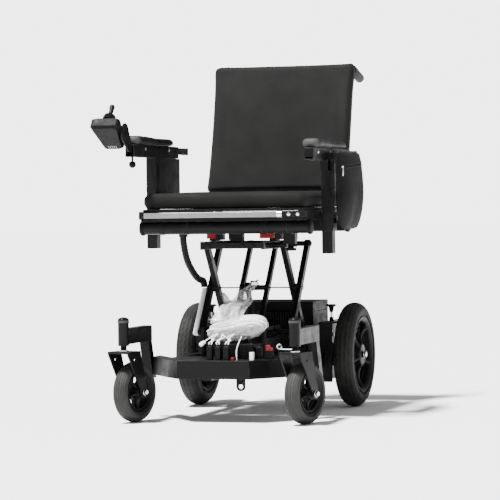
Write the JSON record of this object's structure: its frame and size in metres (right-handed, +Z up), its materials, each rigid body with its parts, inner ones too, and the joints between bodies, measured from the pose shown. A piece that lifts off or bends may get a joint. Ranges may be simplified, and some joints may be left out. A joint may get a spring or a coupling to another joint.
{
  "type": "power wheelchair",
  "caption": "Power wheelchair with a scissor seat lift, rear drive wheels, swivelling front casters, joystick pod, adjustable armrests and a side bag.",
  "frame": {"origin": "on the floor, at the middle of the chair's box seen from above", "axes": "+Z up, -Y the way the chair faces, +X the occupant's left"},
  "size_m": [0.6985, 1.0123, 1.0678],
  "materials": {
    "frame_black": "satin black powder coat",
    "zinc": "bright zinc",
    "silver": "satin anodised",
    "casting": "dark painted casting",
    "plastic_black": "fine grain",
    "plastic_pale": "smooth",
    "harness": "glossy film over white wires",
    "battery": "battery block",
    "red": "smooth",
    "upholstery": "charcoal coated fabric",
    "pad": "soft moulded",
    "tyre_black": "matt",
    "tyre_grey": "matt",
    "board": "dark painted"
  },
  "bodies": {
    "base": {"chassis_rails": "frame_black", "front_beam": "frame_black", "neck_arms": "frame_black", "tie_down_eye": "zinc", "junction_box": "plastic_black", "wire_hank": "harness", "lift_brackets": "frame_black", "motor_brackets": "frame_black", "drive_motors": "casting", "battery_case": "plastic_black", "battery_lid": "plastic_black", "battery_pack": "battery", "power_module": "casting"},
    "freewheel_left": {"freewheel_knob_left": "plastic_black"},
    "freewheel_right": {"freewheel_knob_right": "plastic_black"},
    "actuator_tube": {"actuator_tube": "casting"},
    "actuator_rod": {"actuator_rod": "zinc"},
    "arms_a": {"lift_arms_a": "frame_black"},
    "arms_b": {"lift_arms_b": "frame_black", "lift_shafts": "zinc", "conduit_sleeve": "plastic_pale"},
    "seat": {"lift_platform": "frame_black", "seat_frame": "frame_black", "seat_rails": "frame_black", "seat_cross_tubes": "frame_black", "seat_board": "board", "seat_front_bar": "silver", "seat_cushion": "upholstery", "seat_loom": "pad"},
    "latch_left": {"latch_lever_left": "red"},
    "latch_right": {"latch_lever_right": "red"},
    "platform_knob": {"platform_knob": "plastic_black"},
    "backrest": {"back_canes": "frame_black", "back_cushion": "upholstery", "hand_grips": "pad"},
    "armrest_left": {"arm_frame_left": "frame_black", "arm_pad_left": "pad", "side_panel_left": "frame_black"},
    "arm_knob_left": {"arm_knob_left": "plastic_black"},
    "armrest_right": {"arm_frame_right": "frame_black", "arm_pad_right": "pad", "side_panel_right": "frame_black", "side_bag": "upholstery"},
    "arm_knob_right": {"arm_knob_right": "plastic_black"},
    "pod_mount": {"pod_mount": "frame_black"},
    "pod_clamp_knob": {"pod_clamp_knob": "plastic_black"},
    "pod": {"pod_case": "plastic_black"},
    "pod_button": {"pod_button": "plastic_black"},
    "gimbal": {"joystick_gimbal": "zinc"},
    "joystick": {"joystick": "pad"},
    "caster_fork_left": {"caster_fork_left": "frame_black"},
    "caster_wheel_left": {"caster_tyre_left": "tyre_grey", "caster_rim_left": "plastic_black"},
    "drive_wheel_left": {"drive_tyre_left": "tyre_black", "drive_rim_left": "plastic_black"},
    "caster_fork_right": {"caster_fork_right": "frame_black"},
    "caster_wheel_right": {"caster_tyre_right": "tyre_grey", "caster_rim_right": "plastic_black"},
    "drive_wheel_right": {"drive_tyre_right": "tyre_black", "drive_rim_right": "plastic_black"}
  },
  "joints": [
    {"name": "lift", "type": "hinge", "parent": "base", "child": "arms_a", "pos_m": [0, 0.088, 0.244], "axis": [1, 0, 0], "range_deg": [0, 28]},
    {"name": "scissor_pivot", "type": "hinge", "parent": "arms_a", "child": "arms_b", "pos_m": [0, -0.00889, 0.37446], "axis": [1, 0, 0], "range_deg": [-56.5, 0.5], "deforming": ["seat_loom"]},
    {"name": "platform_pivot", "type": "hinge", "parent": "arms_b", "child": "seat", "pos_m": [0, 0.088, 0.50492], "axis": [1, 0, 0], "range_deg": [-0.5, 28.5]},
    {"name": "actuator_pivot", "type": "hinge", "parent": "base", "child": "actuator_tube", "pos_m": [-0.022, 0.06, 0.16], "axis": [1, 0, 0], "range_deg": [-0.5, 20.5]},
    {"name": "actuator_stroke", "type": "slide", "parent": "actuator_tube", "child": "actuator_rod", "axis": [0, -0.3058, 0.9521], "range_m": [-0.031, 0.0005]},
    {"name": "freewheel_left", "type": "slide", "parent": "base", "child": "freewheel_left", "axis": [0, 0, 1], "range_m": [0, 0.008]},
    {"name": "freewheel_right", "type": "slide", "parent": "base", "child": "freewheel_right", "axis": [0, 0, 1], "range_m": [0, 0.008]},
    {"name": "latch_left", "type": "hinge", "parent": "seat", "child": "latch_left", "pos_m": [-0.083, -0.13, 0.53242], "axis": [1, 0, 0], "range_deg": [0, 14]},
    {"name": "latch_right", "type": "hinge", "parent": "seat", "child": "latch_right", "pos_m": [0.083, -0.13, 0.53242], "axis": [1, 0, 0], "range_deg": [0, 14]},
    {"name": "platform_knob", "type": "hinge", "parent": "seat", "child": "platform_knob", "pos_m": [0.156, -0.148, 0.50792], "axis": [0, 0, 1], "continuous": true},
    {"name": "backrest_recline", "type": "hinge", "parent": "seat", "child": "backrest", "pos_m": [0, 0.267, 0.59392], "axis": [1, 0, 0], "range_deg": [-25, 0]},
    {"name": "armrest_height_left", "type": "slide", "parent": "seat", "child": "armrest_left", "axis": [0, 0, 1], "range_m": [-0.02, 0.06]},
    {"name": "armrest_height_right", "type": "slide", "parent": "seat", "child": "armrest_right", "axis": [0, 0, 1], "range_m": [-0.01, 0.08]},
    {"name": "arm_knob_left", "type": "hinge", "parent": "seat", "child": "arm_knob_left", "pos_m": [-0.292, -0.148, 0.57492], "axis": [1, 0, 0], "continuous": true},
    {"name": "arm_knob_right", "type": "hinge", "parent": "seat", "child": "arm_knob_right", "pos_m": [0.292, -0.148, 0.57492], "axis": [1, 0, 0], "continuous": true},
    {"name": "pod_reach", "type": "slide", "parent": "armrest_left", "child": "pod_mount", "axis": [0, -1, 0], "range_m": [-0.003, 0.06]},
    {"name": "pod_clamp_knob", "type": "hinge", "parent": "armrest_left", "child": "pod_clamp_knob", "pos_m": [-0.272, -0.328, 0.74792], "axis": [0, 0, 1], "continuous": true},
    {"name": "pod_tilt", "type": "hinge", "parent": "pod_mount", "child": "pod", "pos_m": [-0.311, -0.408, 0.83792], "axis": [1, 0, 0], "range_deg": [-10, 35]},
    {"name": "pod_button", "type": "slide", "parent": "pod", "child": "pod_button", "axis": [0, 0.5736, 0.8192], "range_m": [-0.0018, 0], "stiffness_N_per_m": 200},
    {"name": "joystick_fore_aft", "type": "hinge", "parent": "pod", "child": "gimbal", "pos_m": [-0.311, -0.42299, 0.86184], "axis": [1, 0, 0], "range_deg": [-10, 10], "stiffness_Nm_per_rad": 0.3},
    {"name": "joystick_side", "type": "hinge", "parent": "gimbal", "child": "joystick", "pos_m": [-0.311, -0.42299, 0.86184], "axis": [0, 0.8192, -0.5736], "range_deg": [-10, 10], "stiffness_Nm_per_rad": 0.3},
    {"name": "caster_swivel_left", "type": "hinge", "parent": "base", "child": "caster_fork_left", "pos_m": [-0.257, -0.466, 0.224], "axis": [0, 0, 1], "continuous": true},
    {"name": "caster_spin_left", "type": "hinge", "parent": "caster_fork_left", "child": "caster_wheel_left", "pos_m": [-0.24354, -0.41577, 0.088], "axis": [0.9659, -0.2588, 0], "continuous": true},
    {"name": "wheel_left", "type": "hinge", "parent": "base", "child": "drive_wheel_left", "pos_m": [-0.252, 0.207, 0.16], "axis": [1, 0, 0], "continuous": true},
    {"name": "caster_swivel_right", "type": "hinge", "parent": "base", "child": "caster_fork_right", "pos_m": [0.257, -0.466, 0.224], "axis": [0, 0, 1], "continuous": true},
    {"name": "caster_spin_right", "type": "hinge", "parent": "caster_fork_right", "child": "caster_wheel_right", "pos_m": [0.27046, -0.41577, 0.088], "axis": [0.9659, -0.2588, 0], "continuous": true},
    {"name": "wheel_right", "type": "hinge", "parent": "base", "child": "drive_wheel_right", "pos_m": [0.252, 0.207, 0.16], "axis": [1, 0, 0], "continuous": true}
  ],
  "couplings": [
    {"joint": "scissor_pivot", "follows": "lift", "ratio": -2},
    {"joint": "platform_pivot", "follows": "lift", "ratio": 1},
    {"joint": "actuator_pivot", "follows": "lift", "ratio": 0.70459},
    {"joint": "actuator_stroke", "follows": "lift", "m_per_rad": -0.061615}
  ]
}
